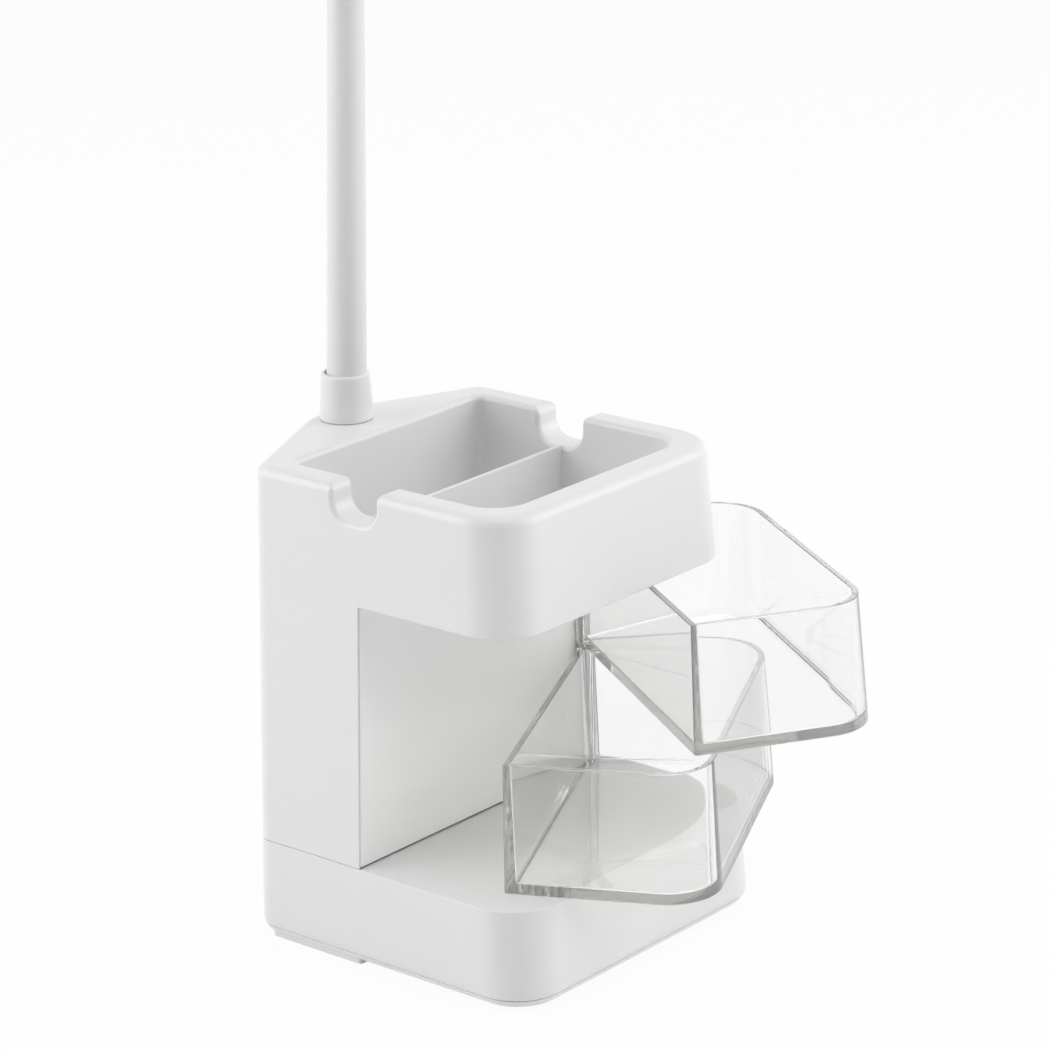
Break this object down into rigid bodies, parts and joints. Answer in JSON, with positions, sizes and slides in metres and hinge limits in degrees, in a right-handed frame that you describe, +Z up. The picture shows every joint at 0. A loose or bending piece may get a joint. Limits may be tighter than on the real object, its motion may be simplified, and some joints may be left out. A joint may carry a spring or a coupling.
{
  "type": "desk lamp with pen cup and swing-out drawers",
  "caption": "Gooseneck desk lamp on a weighted base whose rear column holds a notched pen cup over clear trays that swing out on a corner pin.",
  "frame": {"origin": "on the table, under the middle of the foot", "axes": "+Z up, -Y towards the open front where the drawers swing out, +X towards the drawer pivot"},
  "size_m": [0.1441, 0.2032, 0.3797],
  "materials": {
    "white_plastic": "satin",
    "grey_panel": "gloss",
    "clear_plastic": "clear, polished",
    "white_sleeve": "smooth, soft sheen",
    "dark_rubber": "matte",
    "steel": "plain",
    "spreader": "plain",
    "board": "coated board",
    "black_plastic": "matte",
    "diffuser": "milky"
  },
  "bodies": {
    "base": {"base_shell": "white_plastic", "bottom_cover": "white_plastic", "foot_pad": "dark_rubber", "ballast_plate": "steel", "ballast_screws": "steel", "cover_screws": "steel", "housing": "white_plastic", "housing_screws": "steel", "column_panel": "grey_panel", "cup_underside": "grey_panel", "cup_divider": "white_plastic", "pivot_pin": "steel", "pivot_washers": "steel", "neck_collar": "white_plastic", "neck_stem": "steel", "neck_nut": "steel", "neck_sleeve_1": "white_sleeve", "neck_core_1": "steel", "driver_board": "board", "power_inlet": "black_plastic"},
    "drawer_low": {"lower_drawer": "clear_plastic"},
    "drawer_up": {"upper_drawer": "clear_plastic"},
    "neck_2": {"neck_sleeve_2": "white_sleeve", "neck_core_2": "steel"},
    "neck_3": {"neck_sleeve_3": "white_sleeve", "neck_core_3": "steel"},
    "neck_4": {"neck_sleeve_4": "white_sleeve", "neck_core_4": "steel"},
    "lamp_head": {"neck_sleeve_5": "white_sleeve", "neck_core_5": "steel", "head_socket": "white_plastic", "head_top": "white_plastic", "head_bezel": "white_plastic", "head_diffuser": "diffuser", "led_board": "board", "heat_spreader": "spreader", "head_screws": "steel", "button_switch": "black_plastic"},
    "button": {"power_button": "grey_panel"}
  },
  "joints": [
    {"name": "lower_drawer_swing", "type": "hinge", "parent": "base", "child": "drawer_low", "pos_m": [0.0454, -0.0033, 0.0494], "axis": [0, 0, 1], "range_deg": [-26.4, 33.6]},
    {"name": "upper_drawer_swing", "type": "hinge", "parent": "base", "child": "drawer_up", "pos_m": [0.0454, -0.0033, 0.0876], "axis": [0, 0, 1], "range_deg": [-58, 2]},
    {"name": "neck_bend_1", "type": "hinge", "parent": "base", "child": "neck_2", "pos_m": [0, 0.04391, 0.19564], "axis": [0, 1, 0], "range_deg": [-25, 25]},
    {"name": "neck_bend_2", "type": "hinge", "parent": "neck_2", "child": "neck_3", "pos_m": [0, 0.04132, 0.25058], "axis": [1, 0, 0], "range_deg": [-25, 25]},
    {"name": "neck_bend_3", "type": "hinge", "parent": "neck_3", "child": "neck_4", "pos_m": [0, 0.0383, 0.31451], "axis": [1, 0, 0], "range_deg": [-25, 25]},
    {"name": "neck_bend_4", "type": "hinge", "parent": "neck_4", "child": "lamp_head", "pos_m": [0, 0.02102, 0.35388], "axis": [1, 0, 0], "range_deg": [-25, 25]},
    {"name": "power_button_press", "type": "slide", "parent": "lamp_head", "child": "button", "axis": [0, 0, -1], "range_m": [0, 0.0008], "stiffness_N_per_m": 1200}
  ]
}
